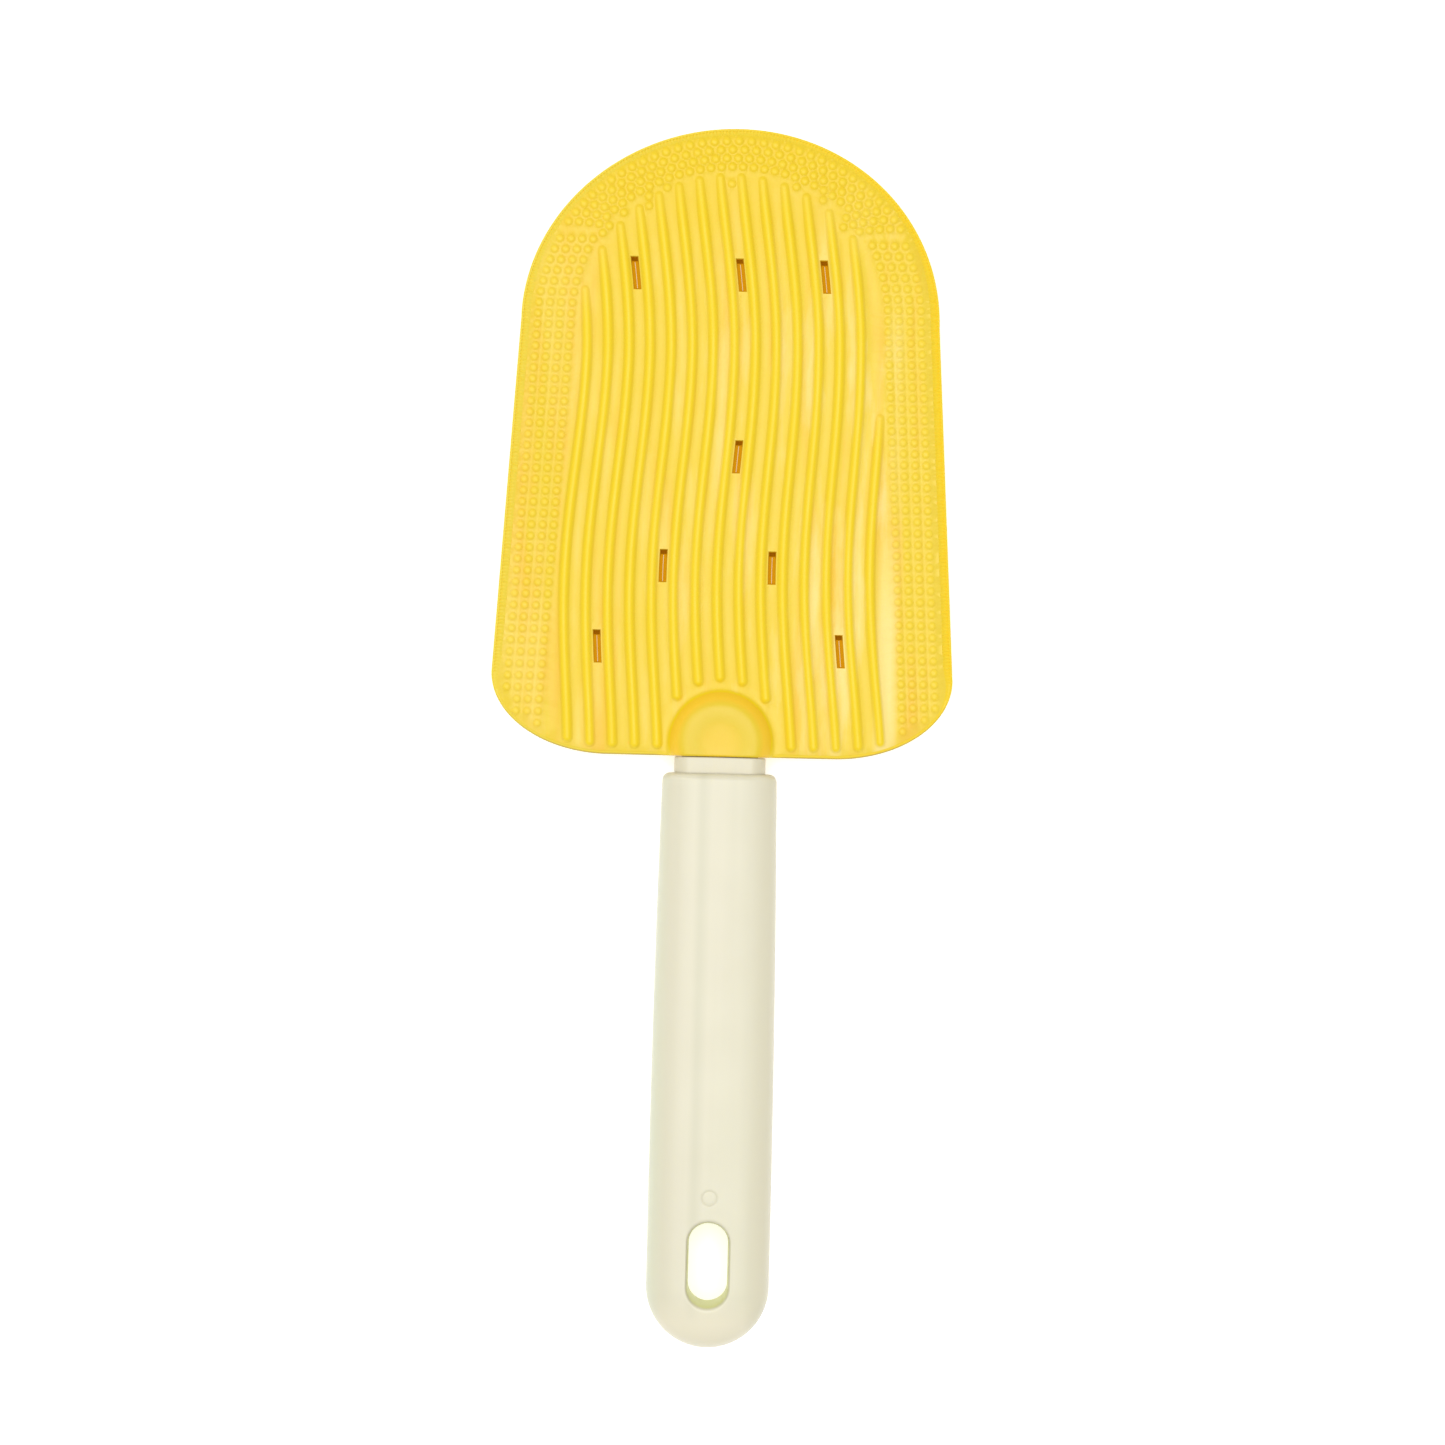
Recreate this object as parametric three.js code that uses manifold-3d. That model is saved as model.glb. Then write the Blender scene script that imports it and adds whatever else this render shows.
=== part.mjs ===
// A hand fly swatter: a soft ribbed blade on a rigid neck, plugged into a hollow handle.
// Millimetres. It lies on its back: +Z comes out of the front face, +Y runs from the handle to the
// blade's tip, and the origin is the middle of its outline on the surface that it lies on.
import * as THREE from 'three';
import { mergeVertices } from 'three/addons/utils/BufferGeometryUtils.js';
import Module from 'manifold-3d';

const wasm = await Module();
wasm.setup();

// ---- driving dimensions ----
const LENGTH = 320;
const BLADE_LENGTH = 165;
const HANDLE_THICKNESS = 16;
const FIT_GAP = 0.3; // between pieces that touch on the real object

const TIP_Y = LENGTH / 2;
const END_Y = -LENGTH / 2;
const EDGE_Y = TIP_Y - BLADE_LENGTH; // the blade's straight lower edge
const MID_Z = HANDLE_THICKNESS / 2; // blade, neck and handle share one middle plane

// Blade outline: a half ellipse on tapering sides, with elliptical lower corners.
const ARCH = { halfWidth: 55, height: 51.2 };
const CORNER = { width: 31, height: 21 };
const BLADE_HALF_WIDTH = 60.6;
const ARCH_Y = TIP_Y - ARCH.height;
const CORNER_X = BLADE_HALF_WIDTH - CORNER.width;
const CORNER_Y = EDGE_Y + CORNER.height;

// Blade section, the same on front and back.
const WEB_THICKNESS = 2;
const RIB_HEIGHT = 0.8;
const RIB_WIDTH = 2.6;
const BLADE_THICKNESS = WEB_THICKNESS + 2 * RIB_HEIGHT;

// Ribs run along the blade side by side, in one shared wave.
const RIB_COUNT = 14;
const MIDDLE_RIB = 7; // the rib that waves about the centre line
const RIB_PITCH_TIP = 5.53;
const PITCH_GROWTH = 0.0034; // how much wider the pitch is for each millimetre below PITCH_Y
const PITCH_Y = 100;
const RIB_TOP_RADIUS = 39.6; // the ribs' upper ends lie on an arc about the arch's centre
const RIB_STEPS = 16;
const RIB_EDGE_GAP = 1.3; // from the ribs' lower ends to the blade's edge
const RIB_BOSS_GAP = 1.6; // and to the boss
const RIB_END_STEP = 0.1; // how finely a rib's ends are placed
const SIDE_RIB_TOP_Y = 86; // one shorter rib fills the wider lower right of the blade
// Where the wave turns, as [y, x], with a cosine ease from each turn to the next.
const WAVE_TURNS = [[-16, 1.4], [42, -1.9], [100, 1.25], [165, -4.6]];

// Slots through the web, as [the rib on their left, y].
const SLOT = { width: 2.3, length: 9.3 };
const SLOTS = [[2, 121.5], [7, 121.5], [11, 121.5], [7, 73.8], [4, 44.8], [9, 44.8], [1, 23.3], [12, 23.3]];

// Boss: a dished round swelling over the tongue.
const BOSS = { y: -1.3, radius: 14, crestRadius: 10.5, crest: 5.6, dishRadius: 7, dishRim: 5.1, dishFloor: 3.9 };

// Neck core: tongue inside the boss, neck, and plug inside the handle.
const TONGUE = { radius: 10, thickness: 3.6 };
const LOCK_HOLES = { radius: 2.2, reach: 5.6, degrees: [30, 90, 150] };
const NECK = { width: 24, thickness: 10, side: 4 };
const PLUG_DEPTH = 34;
const PLUG_CORE = { width: 17, thickness: 4.8, side: 2.2, floor: 3 };
const BARB = { height: 0.6, length: 3, fromEnd: 4 };

// Handle sleeve.
const MOUTH_Y = -9.4;
const GRIP = { mouthHalfWidth: 15, halfWidth: 16.15, swellY: -120, shoulder: 1.9, side: 10.5 };
const END_CENTRE_Y = END_Y + GRIP.halfWidth;
const CAVITY = { halfWidth: NECK.width / 2 + FIT_GAP, thickness: NECK.thickness + 2 * FIT_GAP };
const HANG_SLOT = { width: 11.2, length: 22.7, y: -137.7, wall: 2.4 };

// Flex line: the blade bends just past the boss, so it is made in two lengths that a hinge joins.
const FLEX_Y = 16;
const FLEX_BEVEL = THREE.MathUtils.degToRad(34);

const CLEAR = 20; // how far a cutting tool runs past what it cuts

// ---- solids ----
function toSolid(geometry) {
  geometry.deleteAttribute('normal');
  geometry.deleteAttribute('uv');
  const merged = mergeVertices(geometry, 1e-4);
  const triangles = merged.index.array;
  const mesh = new wasm.Mesh({
    numProp: 3,
    vertProperties: new Float32Array(merged.attributes.position.array),
    triVerts: new Uint32Array(triangles),
  });
  return new wasm.Manifold(mesh);
}

function toMesh(name, solid, { color, roughness }) {
  const { vertProperties, triVerts } = solid.getMesh();
  const geometry = new THREE.BufferGeometry();
  geometry.setAttribute('position', new THREE.BufferAttribute(vertProperties, 3));
  geometry.setIndex(new THREE.BufferAttribute(triVerts, 1));
  geometry.computeVertexNormals();
  const mesh = new THREE.Mesh(geometry, new THREE.MeshStandardMaterial({ color, roughness, metalness: 0 }));
  mesh.name = name;
  return mesh;
}

// A flat outline given thickness, centred on the middle plane.
function plate(shape, thickness, curveSegments = 12) {
  const geometry = new THREE.ExtrudeGeometry(shape, { depth: thickness, bevelEnabled: false, curveSegments });
  return toSolid(geometry.translate(0, 0, MID_Z - thickness / 2));
}

// The same, with its edge rounded to an ellipse that reaches `side` in from the outline.
function pebble(shape, thickness, side, curveSegments = 12) {
  const band = 0.5; // the narrow upright band left between the two rounded edges
  const geometry = new THREE.ExtrudeGeometry(shape, {
    depth: band,
    bevelThickness: (thickness - band) / 2,
    bevelSize: side,
    bevelOffset: -side,
    bevelSegments: 6,
    curveSegments,
  });
  return toSolid(geometry.translate(0, 0, MID_Z - band / 2));
}

// A bar along Y with a flat-oval section: flat front and back, elliptical sides `side` wide.
function flatOvalBar(width, thickness, side, yFrom, yTo) {
  const flat = width / 2 - side;
  const section = new THREE.Shape();
  section.moveTo(-flat, -thickness / 2);
  section.lineTo(flat, -thickness / 2);
  section.absellipse(flat, 0, side, thickness / 2, -Math.PI / 2, Math.PI / 2);
  section.lineTo(-flat, thickness / 2);
  section.absellipse(-flat, 0, side, thickness / 2, Math.PI / 2, (3 * Math.PI) / 2);
  const geometry = new THREE.ExtrudeGeometry(section, { depth: yTo - yFrom, bevelEnabled: false, curveSegments: 8 });
  return toSolid(geometry.rotateX(Math.PI / 2).translate(0, yTo, MID_Z));
}

function box(width, length, height, x, y, z) {
  return toSolid(new THREE.BoxGeometry(width, length, height).translate(x, y, z));
}

function post(radius, height, x, y) {
  const geometry = new THREE.CylinderGeometry(radius, radius, height, 24);
  return toSolid(geometry.rotateX(Math.PI / 2).translate(x, y, MID_Z));
}

// ---- blade ----
function bladeShape() {
  const shape = new THREE.Shape();
  shape.moveTo(-CORNER_X, EDGE_Y);
  shape.lineTo(CORNER_X, EDGE_Y);
  shape.absellipse(CORNER_X, CORNER_Y, CORNER.width, CORNER.height, -Math.PI / 2, 0);
  shape.lineTo(ARCH.halfWidth, ARCH_Y);
  shape.absellipse(0, ARCH_Y, ARCH.halfWidth, ARCH.height, 0, Math.PI);
  shape.lineTo(-BLADE_HALF_WIDTH, CORNER_Y);
  shape.absellipse(-CORNER_X, CORNER_Y, CORNER.width, CORNER.height, Math.PI, (3 * Math.PI) / 2);
  return shape;
}

// The ribs' shared sideways shift at height y.
function wave(y) {
  const next = WAVE_TURNS.findIndex(([turnY]) => turnY > y);
  const [[y0, x0], [y1, x1]] = [WAVE_TURNS[next - 1], WAVE_TURNS[next]];
  const ease = (1 - Math.cos((Math.PI * (y - y0)) / (y1 - y0))) / 2;
  return x0 + (x1 - x0) * ease;
}

// Where rib number `rib` stands at height y. A half number is the valley between two ribs.
function ribX(rib, y) {
  const pitch = RIB_PITCH_TIP + PITCH_GROWTH * Math.max(PITCH_Y - y, 0);
  return (rib - MIDDLE_RIB) * pitch + wave(y);
}

function edgeY(x) {
  const past = Math.max(Math.abs(x) - CORNER_X, 0) / CORNER.width;
  return CORNER_Y - CORNER.height * Math.sqrt(1 - past * past);
}

// The lowest point of a rib that is clear of the boss and of the blade's edge.
function ribBottomY(rib) {
  let y = EDGE_Y;
  let x = ribX(rib, y);
  while (Math.hypot(x, y - BOSS.y) < BOSS.radius + RIB_BOSS_GAP || y < edgeY(x) + RIB_EDGE_GAP) {
    y += RIB_END_STEP;
    x = ribX(rib, y);
  }
  return y;
}

function ribTopY(rib) {
  if (rib >= RIB_COUNT) return SIDE_RIB_TOP_Y;
  let y = TIP_Y;
  while (Math.hypot(ribX(rib, y), y - ARCH_Y) > RIB_TOP_RADIUS) y -= RIB_END_STEP;
  return y;
}

function rib(number) {
  const top = ribTopY(number);
  const bottom = ribBottomY(number);
  const line = [];
  for (let i = 0; i <= RIB_STEPS; i++) {
    const y = bottom + ((top - bottom) * i) / RIB_STEPS;
    line.push(new THREE.Vector2(ribX(number, y), y));
  }
  const right = line.map((p) => new THREE.Vector2(p.x + RIB_WIDTH / 2, p.y));
  const left = line.map((p) => new THREE.Vector2(p.x - RIB_WIDTH / 2, p.y)).reverse();
  return plate(new THREE.Shape([...right, ...left]), BLADE_THICKNESS);
}

function slot([leftRib, y]) {
  const half = SLOT.length / 2;
  const corners = [[-1, -1], [1, -1], [1, 1], [-1, 1]].map(([sideways, along]) => {
    const cornerY = y + along * half;
    return new THREE.Vector2(ribX(leftRib + 0.5, cornerY) + (sideways * SLOT.width) / 2, cornerY);
  });
  return plate(new THREE.Shape(corners), BLADE_THICKNESS + 1);
}

function bossProfile() {
  const half = [new THREE.Vector2(0, BOSS.dishFloor), new THREE.Vector2(BOSS.dishRadius, BOSS.dishRim)];
  const steps = 5;
  for (let i = 0; i <= steps; i++) {
    const angle = (Math.PI / 2) * (i / steps);
    const r = BOSS.crestRadius + (BOSS.radius - BOSS.crestRadius) * Math.sin(angle);
    half.push(new THREE.Vector2(r, WEB_THICKNESS / 4 + (BOSS.crest - WEB_THICKNESS / 4) * Math.cos(angle)));
  }
  const back = half.map((p) => new THREE.Vector2(p.x, -p.y));
  return [...back, ...half.reverse()];
}

function boss() {
  const geometry = new THREE.LatheGeometry(bossProfile(), 48);
  const round = toSolid(geometry.rotateX(Math.PI / 2).translate(0, BOSS.y, MID_Z));
  const size = 2 * BOSS.radius + CLEAR;
  return round.intersect(box(size, size, size, 0, EDGE_Y + size / 2, MID_Z));
}

function tongueShape(grow) {
  const radius = TONGUE.radius + grow;
  const shape = new THREE.Shape();
  shape.moveTo(-radius, EDGE_Y - CLEAR);
  shape.lineTo(radius, EDGE_Y - CLEAR);
  shape.absarc(0, BOSS.y, radius, 0, Math.PI);
  return shape;
}

function lockPosts(radius, height) {
  return LOCK_HOLES.degrees.map((degrees) => {
    const angle = THREE.MathUtils.degToRad(degrees);
    return post(radius, height, LOCK_HOLES.reach * Math.cos(angle), BOSS.y + LOCK_HOLES.reach * Math.sin(angle));
  });
}

function wholeBlade() {
  let blade = plate(bladeShape(), WEB_THICKNESS, 16).add(boss());
  for (let number = 0; number <= RIB_COUNT; number++) blade = blade.add(rib(number));
  for (const place of SLOTS) blade = blade.subtract(slot(place));
  const posts = lockPosts(LOCK_HOLES.radius - FIT_GAP, TONGUE.thickness + 2);
  let pocket = plate(tongueShape(FIT_GAP), TONGUE.thickness + 2 * FIT_GAP);
  for (const one of posts) pocket = pocket.subtract(one);
  return blade.subtract(pocket);
}

// Everything on the tip side of the flex line. Its face is bevelled back from the middle plane, so
// that the blade's front and back edges don't meet as it bends either way.
function tipSide() {
  const reach = BLADE_THICKNESS;
  const back = FLEX_Y + FIT_GAP / 2 + reach * Math.tan(FLEX_BEVEL);
  const far = TIP_Y + CLEAR;
  const section = new THREE.Shape([
    new THREE.Vector2(FLEX_Y + FIT_GAP / 2, 0),
    new THREE.Vector2(back, -reach),
    new THREE.Vector2(far, -reach),
    new THREE.Vector2(far, reach),
    new THREE.Vector2(back, reach),
  ]);
  const width = 2 * (BLADE_HALF_WIDTH + CLEAR);
  const geometry = new THREE.ExtrudeGeometry(section, { depth: width, bevelEnabled: false });
  geometry.rotateY(Math.PI / 2).rotateX(Math.PI / 2); // section x to +Y and section y to +Z, drawn along +X
  return toSolid(geometry.translate(-width / 2, 0, MID_Z));
}

function bladeRoot(blade) {
  const length = FLEX_Y - FIT_GAP / 2 - EDGE_Y;
  const width = 2 * (BLADE_HALF_WIDTH + CLEAR);
  return blade.intersect(box(width, length + CLEAR, CLEAR, 0, EDGE_Y + (length - CLEAR) / 2, MID_Z));
}

// ---- neck core ----
function neckCore() {
  const neckTop = EDGE_Y - FIT_GAP;
  const plugEnd = MOUTH_Y - PLUG_DEPTH;
  const barbTop = plugEnd + BARB.fromEnd + BARB.length;
  const { width, thickness, side } = NECK;
  const neckAndPlug = flatOvalBar(width, thickness, side, plugEnd, neckTop);
  const grow = 2 * BARB.height;
  const barb = flatOvalBar(width + grow, thickness + grow, side + BARB.height, plugEnd + BARB.fromEnd, barbTop);
  const tongueEnd = box(2 * CLEAR, CLEAR, CLEAR, 0, neckTop - 1 - CLEAR / 2, MID_Z);
  const tongue = plate(tongueShape(0), TONGUE.thickness).subtract(tongueEnd);
  const core = flatOvalBar(
    PLUG_CORE.width, PLUG_CORE.thickness, PLUG_CORE.side, plugEnd - CLEAR, MOUTH_Y - PLUG_CORE.floor,
  );
  let solid = neckAndPlug.add(barb).add(tongue).subtract(core);
  for (const hole of lockPosts(LOCK_HOLES.radius, TONGUE.thickness + 1)) solid = solid.subtract(hole);
  return solid;
}

// ---- handle ----
function gripShape(topY, shoulder = 0) {
  const { mouthHalfWidth, halfWidth, swellY } = GRIP;
  const controlY = (MOUTH_Y + swellY) / 2;
  const inner = mouthHalfWidth - shoulder;
  const shape = new THREE.Shape();
  shape.moveTo(-mouthHalfWidth, topY - shoulder);
  if (shoulder > 0) shape.absarc(-inner, topY - shoulder, shoulder, Math.PI, Math.PI / 2, true);
  shape.lineTo(-inner, topY);
  shape.lineTo(inner, topY);
  if (shoulder > 0) shape.absarc(inner, topY - shoulder, shoulder, Math.PI / 2, 0, true);
  shape.quadraticCurveTo(halfWidth, controlY, halfWidth, swellY);
  shape.lineTo(halfWidth, END_CENTRE_Y);
  shape.absarc(0, END_CENTRE_Y, halfWidth, 0, -Math.PI, true);
  shape.lineTo(-halfWidth, swellY);
  shape.quadraticCurveTo(-halfWidth, controlY, -mouthHalfWidth, topY - shoulder);
  return shape;
}

function stadium(width, length, y) {
  const radius = width / 2;
  const straight = length / 2 - radius;
  const shape = new THREE.Shape();
  shape.absarc(0, y - straight, radius, Math.PI, 2 * Math.PI);
  shape.absarc(0, y + straight, radius, 0, Math.PI);
  return shape;
}

function cavityShape() {
  const { halfWidth } = CAVITY;
  const shape = new THREE.Shape();
  shape.moveTo(-halfWidth, MOUTH_Y + CLEAR);
  shape.lineTo(-halfWidth, END_CENTRE_Y);
  shape.absarc(0, END_CENTRE_Y, halfWidth, Math.PI, 2 * Math.PI);
  shape.lineTo(halfWidth, MOUTH_Y + CLEAR);
  return shape;
}

function handleSleeve() {
  const { width, length, y, wall } = HANG_SLOT;
  const outside = pebble(gripShape(MOUTH_Y + CLEAR), HANDLE_THICKNESS, GRIP.side, 14)
    .intersect(plate(gripShape(MOUTH_Y, GRIP.shoulder), HANDLE_THICKNESS + 1, 14));
  const tunnel = plate(stadium(width + 2 * wall, length + 2 * wall, y), HANDLE_THICKNESS);
  const cavity = pebble(cavityShape(), CAVITY.thickness, NECK.side + FIT_GAP).subtract(tunnel);
  const grow = 2 * (BARB.height + FIT_GAP);
  const barbBottom = MOUTH_Y - PLUG_DEPTH + BARB.fromEnd;
  const groove = flatOvalBar(
    NECK.width + grow, NECK.thickness + grow, NECK.side + BARB.height + FIT_GAP,
    barbBottom - FIT_GAP, barbBottom + BARB.length + FIT_GAP,
  );
  const opening = plate(stadium(width, length, y), HANDLE_THICKNESS + CLEAR);
  return outside.subtract(cavity).subtract(groove).subtract(opening);
}

const yellowRubber = { color: 0xf6cf4a, roughness: 0.5 };
const creamPlastic = { color: 0xe9e4cb, roughness: 0.35 };

const blade = wholeBlade();
const group = new THREE.Group();
group.add(
  toMesh('blade_root', bladeRoot(blade), yellowRubber),
  toMesh('blade_flap', blade.intersect(tipSide()), yellowRubber),
  toMesh('neck_core', neckCore(), creamPlastic),
  toMesh('handle_sleeve', handleSleeve(), creamPlastic),
);

export default group;
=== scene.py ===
"""A hand fly swatter: a soft ribbed blade on a rigid neck, plugged into a hollow handle.

Lengths are in millimetres until a mesh is made. The blade, the neck and the handle are each the same
on front and back, so each is drawn once in plan, as points with their height off the middle plane.
"""
import math

import bpy
import numpy as np
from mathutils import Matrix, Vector
from mathutils.geometry import delaunay_2d_cdt


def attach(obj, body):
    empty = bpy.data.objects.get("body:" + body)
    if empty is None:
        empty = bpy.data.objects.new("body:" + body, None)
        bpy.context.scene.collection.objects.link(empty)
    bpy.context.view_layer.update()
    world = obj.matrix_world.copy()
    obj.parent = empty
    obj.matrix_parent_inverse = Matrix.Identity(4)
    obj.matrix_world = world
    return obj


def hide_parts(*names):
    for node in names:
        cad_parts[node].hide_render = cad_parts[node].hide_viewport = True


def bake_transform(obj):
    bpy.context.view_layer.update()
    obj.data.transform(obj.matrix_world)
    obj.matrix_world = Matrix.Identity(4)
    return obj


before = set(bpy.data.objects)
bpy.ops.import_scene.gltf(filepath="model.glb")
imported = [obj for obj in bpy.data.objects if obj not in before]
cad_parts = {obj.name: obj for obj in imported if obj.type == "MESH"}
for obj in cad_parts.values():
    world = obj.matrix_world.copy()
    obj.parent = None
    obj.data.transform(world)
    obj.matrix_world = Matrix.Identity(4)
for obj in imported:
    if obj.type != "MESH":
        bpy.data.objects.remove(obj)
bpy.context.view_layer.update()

MM = 0.001
MID_Z = 8.0

# ---- driving dimensions, repeated from the CAD model ----
TIP_Y = 160.0
END_Y = -160.0
EDGE_Y = -5.0

ARCH_HALF_WIDTH, ARCH_HEIGHT = 55.0, 51.2
CORNER_WIDTH, CORNER_HEIGHT = 31.0, 21.0
BLADE_HALF_WIDTH = 60.6
ARCH_Y = TIP_Y - ARCH_HEIGHT
CORNER_X = BLADE_HALF_WIDTH - CORNER_WIDTH
CORNER_Y = EDGE_Y + CORNER_HEIGHT

WEB_HALF = 1.0
RIB_COUNT = 14  # ribs of full length; one more, cut short, is at the right
MIDDLE_RIB = 7
RIB_PITCH_TIP = 5.53
PITCH_GROWTH = 0.0034
PITCH_Y = 100.0
RIB_TOP_RADIUS = 39.6
RIB_EDGE_GAP = 1.3
RIB_BOSS_GAP = 1.6
RIB_END_STEP = 0.1
SIDE_RIB_TOP_Y = 86.0
WAVE_TURNS = [(-16.0, 1.4), (42.0, -1.9), (100.0, 1.25), (165.0, -4.6)]

SLOTS = [(2, 121.5), (7, 121.5), (11, 121.5), (7, 73.8), (4, 44.8), (9, 44.8), (1, 23.3), (12, 23.3)]

BOSS_Y = -1.3
BOSS_RADIUS = 14.0
TONGUE_RADIUS, TONGUE_HALF = 10.0, 1.8
LOCK_HOLE_RADIUS, LOCK_HOLE_REACH = 2.2, 5.6
LOCK_HOLE_DEGREES = (30, 90, 150)
FIT_GAP = 0.3

NECK_HALF_WIDTH, NECK_HALF, NECK_SIDE = 12.0, 5.0, 4.0
MOUTH_Y = -9.4
PLUG_END_Y = MOUTH_Y - 34.0
PLUG_CORE_HALF_WIDTH, PLUG_CORE_HALF, PLUG_CORE_SIDE, PLUG_CORE_FLOOR = 8.5, 2.4, 2.2, 3.0
BARB_HEIGHT, BARB_LENGTH, BARB_Y = 0.6, 3.0, PLUG_END_Y + 4.0

GRIP_MOUTH_HALF_WIDTH, GRIP_HALF_WIDTH, GRIP_SWELL_Y = 15.0, 16.15, -120.0
GRIP_HALF = 8.0
END_CENTRE_Y = END_Y + GRIP_HALF_WIDTH
CAVITY_HALF_WIDTH, CAVITY_HALF, CAVITY_SIDE = NECK_HALF_WIDTH + FIT_GAP, NECK_HALF + FIT_GAP, 4.2
HANG_Y = -137.7
TUNNEL_WIDTH, TUNNEL_LENGTH = 16.0, 27.5  # the walled tunnel round the hang slot

# ---- finer shape that the CAD model leaves out ----
ARCH_LEAN, LEAN_POWER = 1.3, 1.5  # how far the blade's tip leans right, more and more as it goes up
EDGE_ROUND = 0.6
SERRATION_PITCH, SERRATION_DEPTH = 0.9, 0.3
SERRATION_INSET = 1.1 * EDGE_ROUND  # where the serrations start, in from the edge
RIM_WIDTHS = [(8.0, 1.1), (20.0, 2.5), (118.0, 2.5), (132.0, 1.95)]  # (y, width)
RIM_DROP = 0.3
RIM_STEP = 0.3  # how narrow the step is from the rim up to the web
RIM_BOSS_FADE = 3.0  # the rim's drop fades out over this much beside the boss

RIB_SECTION = [(1.6, 0.0), (1.42, 0.12), (1.12, 0.42), (0.78, 0.72), (0.4, 0.92)]  # (from the middle, height)
RIB_HEIGHT = 0.98
RIB_POINT_SPACING = 2.4
RIB_FADE_LENGTH = 9.0
RIB_TOP_WIDTH, RIB_TOP_HEIGHT = 0.8, 0.45  # shares of a rib's section left at its upper end

STUD_SECTION = [(1.24, 0.0, 10), (1.0, 0.24, 10), (0.54, 0.43, 6)]  # (radius, height, points round)
STUD_HEIGHT = 0.48
STUD_FROM_EDGE, STUD_FROM_STUD, STUD_FROM_RIB = 2.0, 2.46, 0.1  # the least gaps
STUD_ROWS = 44
STUD_ROW_Y, STUD_ROW_PITCH, STUD_ROW_CLOSING = 2.7, 3.13, 0.0039
SIDE_STUD_INSETS = (4.65, 7.55, 10.5, 13.4)
SIDE_STUD_SHIFT = -0.25
ARCH_STUD_INSETS = (3.35, 5.6, 7.85, 10.1, 12.35, 14.6)
ARCH_STUD_PITCH = 3.1
ARCH_STUDS_FROM_Y = 129.5

SLOT_WIDTH, SLOT_LENGTH = 2.15, 8.8
SLOT_LEDGES = [(0.0, 0.0, 0.0), (0.15, 0.2, -0.6)]  # (inset sideways, inset along, height off the web)
SLOT_OPENING = (1.01, 0.4, -0.84)  # the same for the narrow opening, where front and back ledges meet
SLOT_PIT, SLOT_PIT_HEIGHT = (0.35, 1.15), -0.93  # a deeper patch, this far from a slot's top end
SHALLOW = -0.46  # the lowest relief marked outside holes

BOSS_SECTION = [  # (radius, height off the middle plane), from the centre out
    (0.0, 4.75), (2.2, 4.77), (4.2, 4.87), (5.4, 5.05), (6.6, 5.25), (7.8, 5.38), (8.8, 5.4), (9.7, 5.3),
    (10.4, 5.02), (11.2, 4.45), (12.0, 3.7), (12.8, 2.8), (13.4, 1.95), (13.85, 1.25), (14.3, 1.0),
]
BOSS_DRAWN_FROM_Y = EDGE_Y + 2.6  # the boss's rings stop above the edge, and straight rows take over
BOSS_EDGE_ROWS, BOSS_ROW_REACH, BOSS_ROW_SPACING = (EDGE_Y + 1.7, EDGE_Y + 2.3), 15.0, 0.5

NECK_GAP = 0.15  # between the neck and the blade's edge
NECK_TOP_ROUND, PLUG_END_ROUND, CORE_END_ROUND = 0.4, 1.0, 1.0
BARB_START_ROUND, BARB_END_ROUND = 0.5, 0.3
MOUTH_ROUND = 1.9
GRIP_POWER = 3.0  # 2 would be an ellipse; more is squarer
END_STEP_DEGREES = 4
HANG_WIDTH, HANG_LENGTH = 10.3, 21.5
FLARE_ALONG = 1.45  # the hang slot's ends flare this much more than its sides
HANG_FLARE = [  # (out from the slot, depth)
    (0.0, 4.0), (0.12, 2.0), (0.26, 1.1), (0.42, 0.5), (0.6, 0.12), (0.75, 0.0), (1.1, 0.0),
]
GATE_Y = -120.2  # a small round moulding mark above the hang slot
GATE_SECTION = [(2.7, 0.0), (2.15, 0.0), (1.9, 0.14), (1.6, 0.05), (0.8, 0.05)]  # (radius, depth)
HANG_CLEARANCE, GATE_CLEARANCE = 0.4, 0.3  # how far the grip's own grid of points keeps off them

# ---- how finely shapes are drawn ----
ARC_POINTS = 90
HOLE_SIDES, GATE_SIDES = 32, 28
OVAL_START, GRIP_START = 0.05, 0.03  # in radians: sections start just off the middle plane
HOLE_SHARE = 0.99  # a many-sided hole is tested as a circle with this share of its radius
HANG_CHORD_GAP, TUNNEL_CHORD_GAP = 0.01, 0.03  # more than a chord cuts off their round ends
TONGUE_OVERLAP = 1.0  # how far the tongue is drawn into the neck
POCKET_OVERRUN, CORE_OVERRUN = 2.0, 5.0  # how far these cuts are drawn past the end they open at

# ---- blade colours, as linear light, and where they are: metres along an axis, or relief in millimetres ----
WEB_LEFT = (0.74, 0.535, 0.022)
WEB_RIGHT = (0.765, 0.56, 0.038)
WEB_PEACH = (0.775, 0.495, 0.036)
WEB_ACROSS = (-0.06, 0.06)
CHALK_LEFT = (0.79, 0.58, 0.08)
CHALK_RIGHT = (0.84, 0.67, 0.24)
CHALK_ACROSS = (-0.03, 0.05)
CHALK_END = (0.043, 0.047)
CHALK_STRIP = (0.83, 0.65, 0.19)  # beside the last rib at the lower right
STRIP_LEFT, STRIP_RIGHT, STRIP_TOP = (0.0395, 0.0415), (0.044, 0.0465), (0.03, 0.06)
ARCH_YELLOW = (0.75, 0.53, 0.012)
ARCH_START = (0.11, 0.15)
CREST_YELLOW = (0.79, 0.575, 0.006)
CREST_RELIEF = (0.15, 0.75)
RIM_LEFT = (0.75, 0.57, 0.038)
RIM_RIGHT = (0.81, 0.575, 0.013)
RIM_ACROSS = (-0.03, 0.05)
RIM_RELIEF = (-0.03, -0.2)
# painted shade along the lower edge's rim, where it turns away from the light
EDGE_PAINTED_SHADE = (0.43, 0.31, 0.05)  # along the lower edge
SHADE_START = (0.012, -0.003)
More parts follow.
